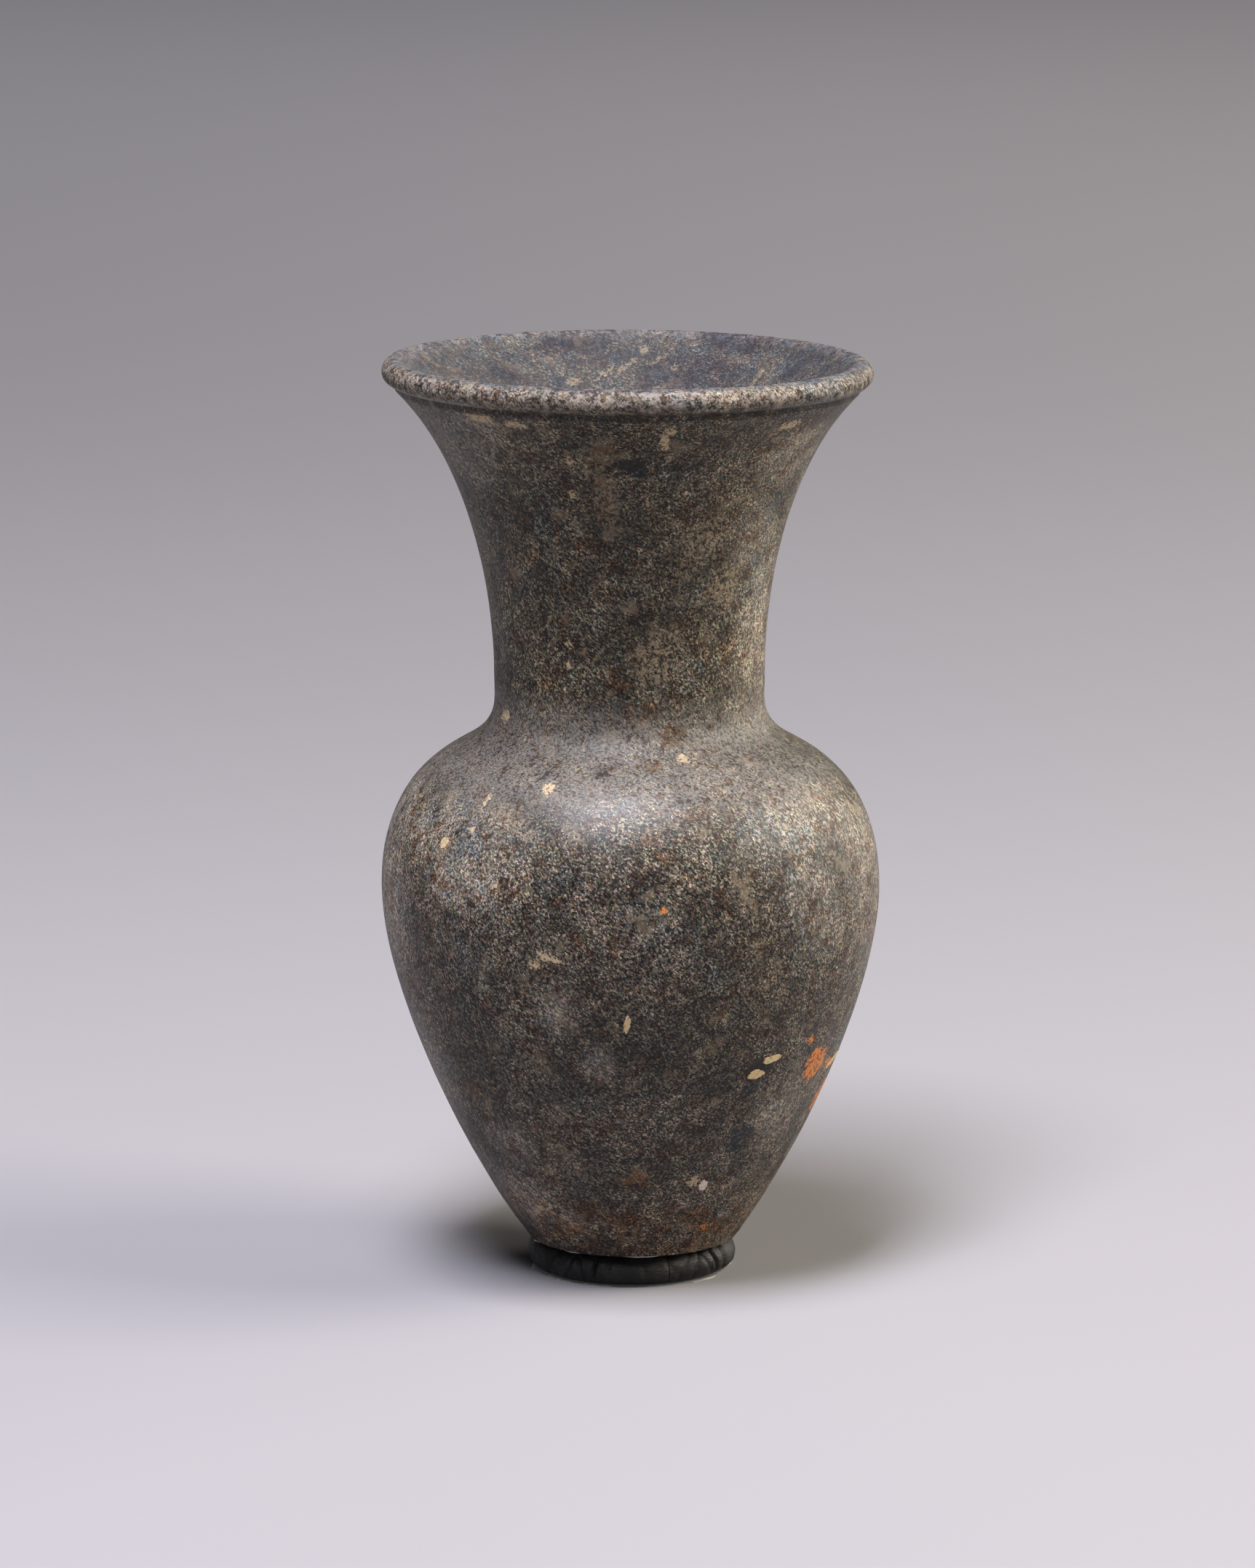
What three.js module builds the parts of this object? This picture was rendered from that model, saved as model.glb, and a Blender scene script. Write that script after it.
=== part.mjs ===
// A small vase carved from one block of dark speckled stone, standing on a ring of black wax.
// Millimetres, +Z up. The origin is on the surface it stands on, below the vase's axis.
// The front faces -Y, and angles round the axis start there and grow towards +X.

import * as THREE from 'three';

// Vase, outside. Heights are above the vase's own foot.
const footRadius = 16.95;
const footArris = 0.5;
const footLean = 38; // degrees from upright, where the wall leaves the foot
const footHandle = 11;
const bellyRadius = 39.2;
const bellyHeight = 56.6;
const bellyHandleBelow = 18.8;
const bellyHandleAbove = 17;
const shoulderRadius = 25.5;
const shoulderRise = 23.1; // from the belly up to the break of the shoulder
const shoulderLean = 58.7;
const shoulderHandleBelow = 3.7;
const shoulderHandleAbove = 6.1;
const neckRadius = 21.3;
const neckRise = 10.6; // from the shoulder's break up to the narrowest place
const neckHandleBelow = 4.1;
const neckHandleAbove = 13.4;
const flareRadius = 37.6;
const flareRise = 45.7; // from the narrowest place up to the lip
const flareLean = 48.3;
const flareHandle = 16.9;
const lipRadius = 2.1;

// Vase, inside
const lipInnerLean = 50.8;
const mouthHandle = 11;
const boreHandle = 16;
const neckWall = 5.1;
const boreAboveNeck = 16.4;
const boreBelowNeck = 7.6;
const cavityShoulderDrop = 6;
const bellyWall = 7.6;
const cavityRoundAbove = 15;
const cavityRoundBelow = 26;
const cavityFloorRound = 18;
const floorThickness = 9.7;

// Wax ring and the clear films above and below it
const filmThickness = 0.2;
const baseFilmInset = 0.9; // from the foot's edge in to the base film's edge
const seatFilmInset = 0.6;
const waxHeight = 4.9;
const waxInset = 0.9; // from the foot's edge in to the ring's outer wall
const waxWidth = 5.55;
const waxBaseRound = 0.85;
const waxBaseLip = 0.2; // how far the wall still swells above its rounded base
const waxSwellHeight = 1.7;
const waxEdgeRound = 0.35;
const waxSeatInset = 1.9; // from the ring's outer wall in to the flat that bears the stone
const waxBoreRound = 0.9;
const edgeDroop = 1.3;
const droopAngle = 20; // where the ring's outer edge droops most
const closingStart = 23; // the short lump that closes the ring lies between these angles
const closingEnd = 67;
const seamGap = 0.3;
const notchDepth = 0.6;
const notchWidth = 6; // degrees
const coilSteps = 46;
const closingSteps = 10;

// How finely the round forms are divided
const latheSegments = 64;
const outlineSteps = 7;
const lipSteps = 9;

const baseFilmRadius = footRadius - baseFilmInset;
const seatFilmRadius = footRadius - seatFilmInset;
const waxRadius = footRadius - waxInset;
const waxBoreRadius = waxRadius - waxWidth;
const waxBottom = filmThickness;
const waxTop = waxBottom + waxHeight;
const vaseBottom = waxTop + filmThickness;

const stone = new THREE.MeshStandardMaterial({ color: 0x4d463f, roughness: 0.45, metalness: 0 });
const wax = new THREE.MeshStandardMaterial({ color: 0x100f0e, roughness: 0.5, metalness: 0 });
const film = new THREE.MeshStandardMaterial({
  color: 0xc9c6b8,
  roughness: 0.15,
  metalness: 0,
  transparent: true,
  opacity: 0.35,
});

const radians = THREE.MathUtils.degToRad;

// A direction in the outline's plane, leaning outwards from upright by an angle in degrees.
function leaning(degrees) {
  return new THREE.Vector2(Math.sin(radians(degrees)), Math.cos(radians(degrees)));
}

function along(point, direction, distance) {
  return point.clone().addScaledVector(direction, distance);
}

function bezier(start, startDirection, startHandle, end, endDirection, endHandle) {
  const first = along(start, startDirection, startHandle);
  const second = along(end, endDirection, -endHandle);
  return new THREE.CubicBezierCurve(start, first, second, end).getPoints(outlineSteps);
}

// The vase's outline, from the middle of its foot, up the outside, over the lip and down inside.
function vaseOutline() {
  const up = leaning(0);
  const down = leaning(180);
  const shoulderHeight = bellyHeight + shoulderRise;
  const neckHeight = shoulderHeight + neckRise;
  const foot = new THREE.Vector2(footRadius, footArris);
  const belly = new THREE.Vector2(bellyRadius, bellyHeight);
  const shoulder = new THREE.Vector2(shoulderRadius, shoulderHeight);
  const neck = new THREE.Vector2(neckRadius, neckHeight);
  const flare = new THREE.Vector2(flareRadius, neckHeight + flareRise);
  const outward = leaning(flareLean);
  const inward = leaning(-shoulderLean);

  // The lip is a round roll that starts where the flare ends, and ends where the mouth begins.
  const lipCentre = along(flare, leaning(flareLean - 90), lipRadius);
  const lip = new THREE.EllipseCurve(
    lipCentre.x, lipCentre.y, lipRadius, lipRadius,
    radians(-flareLean), radians(180 - lipInnerLean), false,
  ).getPoints(lipSteps);
  const mouth = lip[lip.length - 1];
  const intoMouth = leaning(180 + lipInnerLean);

  const boreRadius = neckRadius - neckWall;
  const boreTop = new THREE.Vector2(boreRadius, neckHeight + boreAboveNeck);
  const boreBottom = new THREE.Vector2(boreRadius, neckHeight - boreBelowNeck);
  const cavity = new THREE.Vector2(bellyRadius - bellyWall, bellyHeight);
  const cavityFloor = new THREE.Vector2(0, floorThickness);
  const toAxis = leaning(-90);

  return [
    new THREE.Vector2(0, 0),
    new THREE.Vector2(footRadius - footArris, 0),
    ...bezier(foot, leaning(footLean), footHandle, belly, up, bellyHandleBelow),
    ...bezier(belly, up, bellyHandleAbove, shoulder, inward, shoulderHandleBelow).slice(1),
    ...bezier(shoulder, inward, shoulderHandleAbove, neck, up, neckHandleBelow).slice(1),
    ...bezier(neck, up, neckHandleAbove, flare, outward, flareHandle).slice(1),
    ...lip.slice(1),
    ...bezier(mouth, intoMouth, mouthHandle, boreTop, down, boreHandle).slice(1),
    ...bezier(boreBottom, down, cavityShoulderDrop, cavity, down, cavityRoundAbove),
    ...bezier(cavity, down, cavityRoundBelow, cavityFloor, toAxis, cavityFloorRound).slice(1),
  ];
}

function turned(outline) {
  const geometry = new THREE.LatheGeometry(outline, latheSegments);
  geometry.rotateX(Math.PI / 2);
  return geometry;
}

function disc(radius) {
  const geometry = new THREE.CylinderGeometry(radius, radius, filmThickness, latheSegments);
  geometry.rotateX(Math.PI / 2);
  geometry.translate(0, 0, filmThickness / 2);
  return geometry;
}

// The wax rope's section at an angle, as points of radius and height above the base film.
// Its outer edge droops at the front, and its wall is drawn in at the deep notch.
function waxSection(degrees) {
  const droop = edgeDroop * (1 + Math.cos(radians(degrees - droopAngle))) / 2;
  const fromNotch = THREE.MathUtils.euclideanModulo(degrees - closingEnd + 180, 360) - 180;
  const drawnIn = notchDepth * Math.exp(-((fromNotch / notchWidth) ** 2));
  const wall = waxRadius - drawnIn;
  const edgeHeight = waxHeight - waxEdgeRound - droop;
  const edgeRadius = wall - droop * waxEdgeRound;
  return [
    [waxBoreRadius + waxBoreRound, 0],
    [wall - waxBaseRound, 0],
    [wall - waxBaseLip, waxBaseRound],
    [wall, waxSwellHeight],
    [edgeRadius, edgeHeight - waxEdgeRound],
    [edgeRadius - waxEdgeRound, edgeHeight],
    [waxRadius - waxSeatInset, waxHeight],
    [waxBoreRadius + waxBoreRound, waxHeight],
    [waxBoreRadius, waxHeight - waxBoreRound],
    [waxBoreRadius, waxBoreRound],
  ];
}

// A length of wax rope between two angles, closed at both ends.
function waxRope(startDegrees, endDegrees, steps) {
  const positions = [];
  const indices = [];
  const count = waxSection(0).length;
  for (let step = 0; step <= steps; step += 1) {
    const degrees = startDegrees + (endDegrees - startDegrees) * step / steps;
    const angle = radians(degrees);
    for (const [radius, height] of waxSection(degrees)) {
      positions.push(radius * Math.sin(angle), -radius * Math.cos(angle), height);
    }
  }
  for (let step = 0; step < steps; step += 1) {
    for (let corner = 0; corner < count; corner += 1) {
      const here = step * count + corner;
      const next = step * count + (corner + 1) % count;
      indices.push(here, here + count, next, next, here + count, next + count);
    }
  }
  const startFace = waxSection(startDegrees).map(([radius, height]) => new THREE.Vector2(radius, height));
  for (const [a, b, c] of THREE.ShapeUtils.triangulateShape(startFace, [])) {
    const last = steps * count;
    indices.push(a, b, c);
    indices.push(last + a, last + c, last + b);
  }
  const geometry = new THREE.BufferGeometry();
  geometry.setAttribute('position', new THREE.Float32BufferAttribute(positions, 3));
  geometry.setIndex(indices);
  return geometry;
}

function named(name, geometry, material, height) {
  const mesh = new THREE.Mesh(geometry, material);
  mesh.name = name;
  mesh.position.z = height;
  return mesh;
}

// Half of the seam's gap, as an angle at the ring's bore, where the seam is narrowest
const halfSeam = THREE.MathUtils.radToDeg(seamGap / 2 / waxBoreRadius);

const support = new THREE.Group();
support.add(
  named('base_film', disc(baseFilmRadius), film, 0),
  named('support_ring_coil',
    waxRope(closingEnd + halfSeam, closingStart + 360 - halfSeam, coilSteps), wax, waxBottom),
  named('support_ring_closing_piece',
    waxRope(closingStart + halfSeam, closingEnd - halfSeam, closingSteps), wax, waxBottom),
  named('seat_film', disc(seatFilmRadius), film, waxTop),
);

const vase = new THREE.Group();
vase.add(named('stone_vase', turned(vaseOutline()), stone, vaseBottom));

const model = new THREE.Group();
model.add(support, vase);

export default model;
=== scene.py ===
import math

import bpy
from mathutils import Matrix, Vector, noise
from mathutils.geometry import interpolate_bezier


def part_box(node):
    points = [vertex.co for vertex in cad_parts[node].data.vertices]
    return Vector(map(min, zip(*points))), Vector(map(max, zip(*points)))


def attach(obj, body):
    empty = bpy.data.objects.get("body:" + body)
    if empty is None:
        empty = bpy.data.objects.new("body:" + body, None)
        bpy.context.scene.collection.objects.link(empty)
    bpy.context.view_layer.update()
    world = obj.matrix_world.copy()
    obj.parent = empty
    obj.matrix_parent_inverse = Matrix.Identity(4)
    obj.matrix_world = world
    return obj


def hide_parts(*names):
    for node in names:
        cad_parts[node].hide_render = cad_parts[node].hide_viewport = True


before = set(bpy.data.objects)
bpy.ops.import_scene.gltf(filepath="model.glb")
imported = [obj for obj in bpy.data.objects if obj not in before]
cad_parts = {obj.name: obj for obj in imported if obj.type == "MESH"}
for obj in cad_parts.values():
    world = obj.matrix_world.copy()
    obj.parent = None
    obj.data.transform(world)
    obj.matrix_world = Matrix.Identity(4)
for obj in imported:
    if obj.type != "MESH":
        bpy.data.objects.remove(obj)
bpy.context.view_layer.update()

# Base film
# A disc of clear polyester film lies under the wax, so that the wax doesn't stain the shelf.
# It is cut by hand with scissors, in straight snips, and shows most at the ring's right.
MM = 0.001
MERGE_DISTANCE = 0.002 * MM
FILM_SIDES = 96
CLEAR_FILM = (0.80, 0.79, 0.74, 1)
SCUFFED_FILM = (0.62, 0.60, 0.54, 1)
FILM_ROUGHNESS = 0.08, 0.3
FILM_HAZE = 0.10, 0.26  # how much clear and scuffed film hide what lies behind them
FILM_CORNERS = 15.55, 15.85  # only the film's corners lie this far from the axis, in mm
# Painted glint: the film's outermost corners are made this opaque, so their pale colour shows
FILM_CORNER_GLINT = 0.6
# Each snip is an angle from the front, growing towards +X, and a distance from the axis in mm
BASE_FILM_SNIPS = [(0, 14.9), (-28, 15.0), (-62, 15.2), (-95, 15.3), (26, 15.3), (46, 15.7), (72, 15.3),
                   (110, 15.5), (145, 15.2), (180, 15.1), (215, 15.3), (240, 15.1)]


def on_axis(degrees, radius, height):
    """A place at an angle from the front, growing towards +X, in metres from sizes in mm."""
    angle = math.radians(degrees)
    return Vector((radius * math.sin(angle), -radius * math.cos(angle), height)) * MM


def begin_piece(name):
    """Names the primitive just added, puts its place in its mesh, and goes into edit mode."""
    piece = bpy.context.active_object
    piece.name = name
    piece.data.name = name
    bpy.ops.object.transform_apply(location=True, rotation=True, scale=True)
    bpy.ops.object.mode_set(mode="EDIT")
    return piece


def end_piece(piece, material, smooth_angle):
    """Merges doubles, turns the faces outwards, shades, and gives the piece its material."""
    bpy.ops.object.mode_set(mode="EDIT")
    bpy.ops.mesh.select_all(action="SELECT")
    bpy.ops.mesh.remove_doubles(threshold=MERGE_DISTANCE)
    bpy.ops.mesh.normals_make_consistent(inside=False)
    bpy.ops.object.mode_set(mode="OBJECT")
    bpy.ops.object.shade_smooth_by_angle(angle=math.radians(smooth_angle))
    piece.data.materials.clear()
    piece.data.materials.append(material)


def cut_film(name, node, snips):
    """A disc between the node's two faces, trimmed by straight snips."""
    low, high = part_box(node)
    bpy.ops.object.select_all(action="DESELECT")
    bpy.ops.mesh.primitive_cylinder_add(vertices=FILM_SIDES, radius=(high[0] - low[0]) / 2,
                                        depth=high[2] - low[2], location=(0, 0, (low[2] + high[2]) / 2))
    piece = begin_piece(name)
    for degrees, distance in snips:
        place = on_axis(degrees, distance, 0)
        bpy.ops.mesh.select_all(action="SELECT")
        bpy.ops.mesh.bisect(plane_co=place, plane_no=place.normalized(), use_fill=True, clear_outer=True)
    return piece


def new_material(name):
    """An empty node material, its tree and its Principled shader."""
    material = bpy.data.materials.new(name)
    material.use_nodes = True
    tree = material.node_tree
    return material, tree, tree.nodes["Principled BSDF"]


def add_node(tree, kind, inputs=None, **settings):
    """A node with its settings, and its inputs given as values or as other nodes' outputs."""
    node = tree.nodes.new(kind)
    for key, value in settings.items():
        setattr(node, key, value)
    for key, value in (inputs or {}).items():
        if isinstance(value, bpy.types.NodeSocket):
            tree.links.new(value, node.inputs[key])
        else:
            node.inputs[key].default_value = value
    return node


def vector_maths(tree, operation, *inputs):
    """One step of arithmetic on vectors or colours."""
    step = add_node(tree, "ShaderNodeVectorMath", dict(enumerate(inputs)), operation=operation)
    return step.outputs["Vector"]


def millimetres(tree, turn=(0, 0, 0), stretch=(1, 1, 1)):
    """The piece's own coordinates in mm, turned by angles in degrees and then scaled."""
    turned = add_node(tree, "ShaderNodeVectorRotate", {
        "Vector": add_node(tree, "ShaderNodeTexCoord").outputs["Object"],
        "Rotation": [math.radians(angle) for angle in turn],
    }, rotation_type="EULER_XYZ").outputs["Vector"]
    return vector_maths(tree, "MULTIPLY", turned, [factor / MM for factor in stretch])


def grain(tree, place, per_mm, detail=2.0, roughness=0.5, output="Fac"):
    """Noise with that many waves per mm, round a half, as a value or as a colour."""
    return add_node(tree, "ShaderNodeTexNoise", {
        "Vector": place, "Scale": per_mm, "Detail": detail, "Roughness": roughness,
    }).outputs[output]


def ramp(tree, value, low, high, start=0.0, end=1.0):
    """The value mapped from low..high to start..end, smoothly and clamped."""
    return add_node(tree, "ShaderNodeMapRange", {
        "Value": value, "From Min": low, "From Max": high, "To Min": start, "To Max": end,
    }, interpolation_type="SMOOTHSTEP").outputs["Result"]


def maths(tree, operation, first, *others):
    """A step of arithmetic on values, done again for each further value."""
    for other in others:
        first = add_node(tree, "ShaderNodeMath", {0: first, 1: other}, operation=operation).outputs[0]
    return first


def product(tree, *values):
    return maths(tree, "MULTIPLY", *values)


def largest(tree, *values):
    return maths(tree, "MAXIMUM", *values)


def mix_colour(tree, amount, first, second, blend="MIX"):
    """Two colours mixed by an amount."""
    return add_node(tree, "ShaderNodeMix", {0: amount, 6: first, 7: second},
                    data_type="RGBA", blend_type=blend).outputs[2]


def distance_from_axis(tree, place):
    """How far a place is from the upright axis, in mm."""
    level = vector_maths(tree, "MULTIPLY", place, (1, 1, 0))
    return add_node(tree, "ShaderNodeVectorMath", {0: level}, operation="LENGTH").outputs["Value"]


def film_material():
    """Clear film, faintly scuffed. Its outermost corners are made more opaque, so their pale colour shows as
    a painted glint.
    """
    material, tree, shader = new_material("clear_polyester_film")
    place = millimetres(tree)
    scuffs = grain(tree, place, 0.9, 4)
    colour = mix_colour(tree, ramp(tree, scuffs, 0.35, 0.7), CLEAR_FILM, SCUFFED_FILM)
    tree.links.new(colour, shader.inputs["Base Color"])
    tree.links.new(ramp(tree, scuffs, 0.3, 0.7, *FILM_ROUGHNESS), shader.inputs["Roughness"])
    haze = ramp(tree, scuffs, 0.3, 0.7, *FILM_HAZE)
    corners = ramp(tree, distance_from_axis(tree, place), *FILM_CORNERS, 0.0, FILM_CORNER_GLINT)
    tree.links.new(largest(tree, haze, corners), shader.inputs["Alpha"])
    return material


film = film_material()
base_film = cut_film("base_film_sheet", "base_film", BASE_FILM_SNIPS)
end_piece(base_film, film, 30)
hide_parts("base_film")
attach(base_film, "support")

# Wax ring
# A rope of soft black wax, rolled between the fingers, is pressed into a ring. A second short
# lump closes it, with a seam on its left and a deep notch on its right. Fingers have left
# flats, pinches and fine smear lines in it, and its outer edge droops at the front.
WAX_SIDES = 44
WAX_RADIUS = 16.05
WAX_WIDTH = 5.55
WAX_STEP = 1.0  # degrees
SQUARE_ACROSS, SQUARE_UPWARD = 0.55, 0.5  # powers that square the rope's section
SEAM_GAP = 0.4  # degrees
CLOSING_START = 23
CLOSING_END = 67
# At the seams the wax shrinks by these shares, within this many degrees
SEAM_SHRINK = {CLOSING_START: 0.035, CLOSING_END: 0.17}
SEAM_REACH = 2.2
# The outer edge droops most at one angle, and the rope is fuller at another
DROOP, DROOP_ANGLE = 1.3, 20
SWELL, SWELL_ANGLE, SWELL_REACH = 0.6, 84, 24
EDGE_PULL, BASE_TUCK = 0.10, 0.22  # how far the drooping edge and the base draw in
WAX_LUMPS = [(0.28, 0.20), (0.9, 0.10)]  # waves per mm, and depth in mm
# Each pinch is an angle, a half width in degrees, a depth in mm, and a slant in degrees per mm
# of height. At the rope's base a pinch has this share of its depth.
BASE_PINCH = 0.35
PINCHES = [(-37, 1.2, 0.50, 1.2), (-30, 1.3, 0.62, -1.5), (-21, 1.0, 0.66, 0.4), (-13, 1.8, 0.34, 1.0),
           (-52, 1.8, 0.50, 1.5), (8, 1.6, 0.26, -1.0), (33, 1.4, 0.30, 2.5), (42, 1.1, 0.46, 2.0),
           (50, 1.3, 0.40, -2.5), (57, 1.2, 0.85, -1.0), (118, 2.4, 0.30, 1.0),
           (163, 1.6, 0.34, -1.0), (214, 2.2, 0.28, 0.6), (262, 1.8, 0.20, -0.8)]
WAX_BLACK = (0.0050, 0.0046, 0.0042, 1)
WAX_SMEARED = (0.030, 0.028, 0.024, 1)
WAX_DUST = (0.16, 0.15, 0.13, 1)
WAX_ROUGHNESS = 0.34, 0.58
WAX_SPECULAR = 0.34
SMEAR_RELIEF, PATCH_RELIEF = 0.14, 0.3  # mm
BUMP_STRENGTH = 0.8

wax_low, wax_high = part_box("support_ring_coil")
WAX_BOTTOM = wax_low[2] / MM
WAX_TOP = wax_high[2] / MM
WAX_MIDDLE = (WAX_TOP + WAX_BOTTOM) / 2
WAX_HALF_HEIGHT = (WAX_TOP - WAX_BOTTOM) / 2
WAX_HALF_WIDTH = WAX_WIDTH / 2
WAX_CENTRE = WAX_RADIUS - WAX_HALF_WIDTH


def signed_power(value, power):
    """A power of the value's size, with the value's own sign."""
    return math.copysign(abs(value) ** power, value)


def angle_between(first, second):
    """The turn from the second angle to the first, between -180 and 180 degrees."""
    return (first - second + 180) % 360 - 180


def finger_depth(degrees, radius, height):
    """How far fingers have pressed in a point of the rope's outer side, in mm."""
    level = (height - WAX_BOTTOM) / (WAX_TOP - WAX_BOTTOM)
    depth = 0.0
    for angle, width, amount, slant in PINCHES:
        away = angle_between(degrees, angle + slant * (height - WAX_MIDDLE))
        depth += amount * math.exp(-(away / width) ** 2) * min(1.0, BASE_PINCH + level)
    place = on_axis(degrees, radius, height) / MM
    return depth + sum(amount * noise.noise(place * per_mm) for per_mm, amount in WAX_LUMPS)


def pressed_place(place):
    """Where a point of the plain rope lies once its edge droops and fingers have pressed it."""
    x, y, height = place / MM
    degrees = math.degrees(math.atan2(x, -y))
    across = (math.hypot(x, y) - WAX_CENTRE) / WAX_HALF_WIDTH
    upward = (height - WAX_MIDDLE) / WAX_HALF_HEIGHT
    shrink = 1.0
    for seam, amount in SEAM_SHRINK.items():
        shrink -= amount * math.exp(-(angle_between(degrees, seam) / SEAM_REACH) ** 2)
    across *= shrink
    upward = (upward + 1) * shrink - 1
    outside = max(across, 0.0)
    droop = DROOP * (1 + math.cos(math.radians(degrees - DROOP_ANGLE))) / 2
    if upward > 0:
        across -= EDGE_PULL * droop * outside * upward
    else:
        across -= BASE_TUCK * outside * abs(upward) ** 3
    height = WAX_MIDDLE + upward * WAX_HALF_HEIGHT - droop * outside ** 3 * max(upward, 0.0)
    radius = WAX_CENTRE + across * WAX_HALF_WIDTH
    radius += SWELL * outside * math.exp(-(angle_between(degrees, SWELL_ANGLE) / SWELL_REACH) ** 2)
    radius -= finger_depth(degrees, radius, height) * outside ** 2
    return on_axis(degrees, radius, height)


def wax_rope(name, start, end):
    """A length of rope: a section is spun round the axis, capped, and pressed into shape."""
    bpy.ops.object.select_all(action="DESELECT")
    bpy.ops.mesh.primitive_circle_add(vertices=WAX_SIDES, radius=WAX_HALF_WIDTH * MM)
    piece = begin_piece(name)
    bpy.ops.object.mode_set(mode="OBJECT")
    for index, vertex in enumerate(piece.data.vertices):
        turn = 2 * math.pi * index / WAX_SIDES
        radius = WAX_CENTRE + signed_power(math.cos(turn), SQUARE_ACROSS) * WAX_HALF_WIDTH
        height = WAX_MIDDLE + signed_power(math.sin(turn), SQUARE_UPWARD) * WAX_HALF_HEIGHT
        vertex.co = on_axis(start, radius, height)
    bpy.ops.object.mode_set(mode="EDIT")
    bpy.ops.mesh.select_all(action="SELECT")
    bpy.ops.mesh.spin(steps=round((end - start) / WAX_STEP), angle=math.radians(end - start),
                      center=(0, 0, 0), axis=(0, 0, -1))
    bpy.ops.mesh.select_all(action="DESELECT")
    bpy.ops.mesh.select_non_manifold(extend=False)
    bpy.ops.mesh.edge_face_add()
    bpy.ops.object.mode_set(mode="OBJECT")
    for vertex in piece.data.vertices:
        vertex.co = pressed_place(vertex.co)
    return piece


def add_relief(tree, shader, relief):
    """Bump on a shader, from a relief in mm."""
    bump = add_node(tree, "ShaderNodeBump", {"Height": relief, "Distance": MM, "Strength": BUMP_STRENGTH})
    tree.links.new(bump.outputs["Normal"], shader.inputs["Normal"])


def wax_material():
    """Black wax, greyer where it is smeared along the ring, with specks of dust."""
    material, tree, shader = new_material("black_display_wax")
    place = millimetres(tree)
    patches = grain(tree, place, 0.35, 3)
    smears = grain(tree, millimetres(tree, stretch=(1, 1, 7)), 0.8, 5, 0.7)
    specks = grain(tree, place, 3.2, 1)
    smeared = product(tree, ramp(tree, patches, 0.45, 0.7), ramp(tree, smears, 0.4, 0.7))
    colour = mix_colour(tree, smeared, WAX_BLACK, WAX_SMEARED)
    colour = mix_colour(tree, ramp(tree, specks, 0.70, 0.78, 0.0, 0.5), colour, WAX_DUST)
    tree.links.new(colour, shader.inputs["Base Color"])
    tree.links.new(ramp(tree, smears, 0.3, 0.7, *WAX_ROUGHNESS), shader.inputs["Roughness"])
    smear_relief = product(tree, smears, SMEAR_RELIEF)
    add_relief(tree, shader, maths(tree, "ADD", smear_relief, product(tree, patches, PATCH_RELIEF)))
    shader.inputs["Specular IOR Level"].default_value = WAX_SPECULAR
    return material


wax = wax_material()
coil = wax_rope("wax_ring_coil", CLOSING_END + SEAM_GAP / 2, CLOSING_START + 360 - SEAM_GAP / 2)
end_piece(coil, wax, 40)
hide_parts("support_ring_coil")
closing_lump = wax_rope("wax_ring_closing_lump", CLOSING_START + SEAM_GAP / 2, CLOSING_END - SEAM_GAP / 2)
end_piece(closing_lump, wax, 40)
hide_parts("support_ring_closing_piece")
for piece in (coil, closing_lump):
    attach(piece, "support")

# Seat film
# A second film disc keeps the wax off the stone. It lies in the shadow of the foot, and only
# one corner between two snips comes out far enough to show its painted glint, right of the front.
SEAT_FILM_SNIPS = [(-16, 15.3), (30, 15.5), (62, 15.6), (95, 15.8), (130, 15.5), (165, 15.7), (200, 15.6),
                   (235, 15.5), (272, 15.4), (308, 15.4)]

seat_film = cut_film("seat_film_sheet", "seat_film", SEAT_FILM_SNIPS)
end_piece(seat_film, film, 30)
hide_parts("seat_film")
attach(seat_film, "support")

# Stone vase
# One block of dark speckled stone is carved, drilled out and ground to a turned form, then
# rubbed to a satin finish. It has a rolled lip with a fine groove under it, a flared mouth,
# an egg-shaped body and a small flat foot. It stands on the film by its own weight.

# Radii and rises in mm, leans in degrees from upright. A handle is how far the outline
# follows its lean away from a point, below it and above it.
FOOT_RADIUS, FOOT_ARRIS, FOOT_LEAN, FOOT_HANDLE = 16.95, 0.5, 38, 11
BELLY_RADIUS, BELLY_HEIGHT, BELLY_HANDLES = 39.2, 56.6, (18.8, 17)
SHOULDER_RADIUS, SHOULDER_RISE, SHOULDER_LEAN, SHOULDER_HANDLES = 25.5, 23.1, 58.7, (3.7, 6.1)
NECK_RADIUS, NECK_RISE, NECK_HANDLES = 21.3, 10.6, (4.1, 13.4)
FLARE_RADIUS, FLARE_RISE, FLARE_LEAN, FLARE_HANDLE = 37.6, 45.7, 48.3, 16.9
LIP_RADIUS, LIP_INNER_LEAN = 2.1, 50.8
MOUTH_HANDLE, BORE_HANDLE = 11, 16
BORE_RADIUS, BORE_ABOVE_NECK, BORE_BELOW_NECK = 16.2, 16.4, 7.6
CAVITY_RADIUS, CAVITY_FLOOR = 31.6, 9.7
CAVITY_SHOULDER_HANDLE, CAVITY_HANDLES, CAVITY_FLOOR_HANDLE = 6, (15, 26), 18
FOOT_FACE_RADII = 0, 5, 9, 12, 14, 15.4, 16.45
GROOVE_REACH = 1.9  # how far from the lip the flare ends, which leaves the groove
LIP_START, LIP_STEP = -84, 6  # degrees above level, round the lip's section from under it
SPIN_STEPS = 240
VASE_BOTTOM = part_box("stone_vase")[0][2] / MM
VASE_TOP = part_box("stone_vase")[1][2] / MM
LEAN = 0.8  # how far the rim's middle lies to the left of the foot's, in mm
RIM_DROP = 0.5  # how much lower the rim's right side is than its middle, in mm
SURFACE_DEPTH = 0.14  # the mean depth that grinding has left below the CAD surface, in mm
UNEVENNESS = [(0.045, 0.09), (0.2, 0.035), (0.9, 0.014)]  # waves per mm, and depth in mm
CHIP_REACH = 3  # how many half sizes away a chip is still felt
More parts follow.
